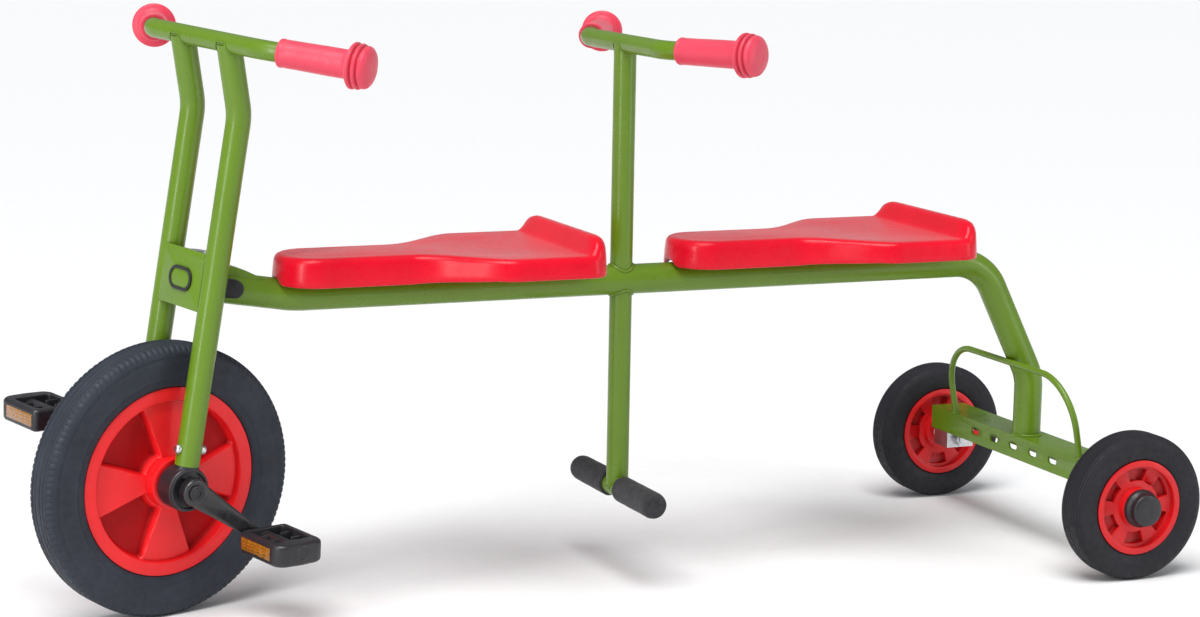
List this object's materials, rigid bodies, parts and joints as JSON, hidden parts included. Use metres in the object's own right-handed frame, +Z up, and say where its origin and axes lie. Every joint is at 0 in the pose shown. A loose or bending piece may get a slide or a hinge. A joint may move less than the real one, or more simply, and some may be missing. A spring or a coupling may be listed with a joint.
{
  "type": "tandem tricycle",
  "caption": "Child's tandem tricycle with a pedalled front wheel that steers, a long backbone tube, saddles one behind the other, rear rider's handlebar and footrest, and small rear wheels.",
  "frame": {"origin": "on the ground, below the middle of the tricycle's length and width", "axes": "+X forward along the backbone, +Y to the riders' left, +Z up; the fork rests turned 17 degrees to the left"},
  "size_m": [1.3956, 0.552, 0.6833],
  "materials": {
    "green_paint": "gloss",
    "saddle_red": "satin",
    "wheel_red": "satin",
    "grip_coral": "satin",
    "front_rubber": "matt",
    "rear_rubber": "matt",
    "black_plastic": "matt",
    "black_steel": "satin",
    "foam": "matt",
    "zinc": "satin",
    "reflector": "gloss",
    "bush_plastic": "matt"
  },
  "bodies": {
    "frame": {"backbone_tube": "green_paint", "rear_leg_tube": "green_paint", "head_tube": "green_paint", "head_gusset": "green_paint", "steering_bushes": "black_plastic", "steering_stops": "foam", "handlebar_post": "green_paint", "footrest_post": "green_paint", "rear_handlebar": "green_paint", "rear_grip_left": "grip_coral", "rear_grip_right": "grip_coral", "footrest_bar": "green_paint", "footrest_sleeve_left": "foam", "footrest_sleeve_right": "foam", "axle_beam": "green_paint", "guard_hoop": "green_paint", "axle_block_left": "zinc", "axle_block_right": "zinc", "rear_axle_left": "zinc", "rear_axle_right": "zinc", "front_seat": "saddle_red", "rear_seat": "saddle_red", "seat_brackets": "green_paint", "seat_studs": "zinc"},
    "fork": {"fork_leg_left": "green_paint", "fork_leg_right": "green_paint", "head_bracket": "green_paint", "head_badge": "black_plastic", "pivot_bolt": "zinc", "pivot_nut": "zinc", "front_handlebar": "green_paint", "front_grip_left": "grip_coral", "front_grip_right": "grip_coral", "bearing_housing_left": "black_plastic", "bearing_housing_right": "black_plastic", "axle_bearing_left": "zinc", "axle_bearing_right": "zinc", "housing_bolts": "zinc"},
    "front_wheel": {"front_rim": "wheel_red", "front_tyre": "front_rubber", "front_axle": "zinc", "crank_left": "black_steel", "crank_right": "black_steel", "crank_bolts": "black_plastic", "pedal_spindle_left": "zinc", "pedal_spindle_right": "zinc"},
    "left_pedal": {"pedal_left": "black_plastic", "pedal_reflectors_left": "reflector", "pedal_cap_left": "black_plastic"},
    "right_pedal": {"pedal_right": "black_plastic", "pedal_reflectors_right": "reflector", "pedal_cap_right": "black_plastic"},
    "left_rear_wheel": {"rear_rim_left": "wheel_red", "rear_tyre_left": "rear_rubber", "rear_bushes_left": "bush_plastic", "hub_cap_left": "black_plastic"},
    "right_rear_wheel": {"rear_rim_right": "wheel_red", "rear_tyre_right": "rear_rubber", "rear_bushes_right": "bush_plastic", "hub_cap_right": "black_plastic"}
  },
  "joints": [
    {"name": "steering", "type": "hinge", "parent": "frame", "child": "fork", "pos_m": [0.53457, 0, 0.15704], "axis": [-0.1564, 0, 0.9877], "range_deg": [-59, 25]},
    {"name": "front_wheel_spin", "type": "hinge", "parent": "fork", "child": "front_wheel", "pos_m": [0.54024, 0.00175, 0.15794], "axis": [-0.2888, 0.9563, -0.0457], "continuous": true},
    {"name": "left_pedal_spin", "type": "hinge", "parent": "front_wheel", "child": "left_pedal", "pos_m": [0.45394, -0.02742, 0.09279], "axis": [-0.2888, 0.9563, -0.0457], "continuous": true},
    {"name": "right_pedal_spin", "type": "hinge", "parent": "front_wheel", "child": "right_pedal", "pos_m": [0.62654, 0.03093, 0.22309], "axis": [-0.2888, 0.9563, -0.0457], "continuous": true},
    {"name": "left_rear_wheel_spin", "type": "hinge", "parent": "frame", "child": "left_rear_wheel", "pos_m": [-0.6075, 0.237, 0.0905], "axis": [0, 1, 0], "continuous": true},
    {"name": "right_rear_wheel_spin", "type": "hinge", "parent": "frame", "child": "right_rear_wheel", "pos_m": [-0.6075, -0.237, 0.0905], "axis": [0, 1, 0], "continuous": true}
  ]
}
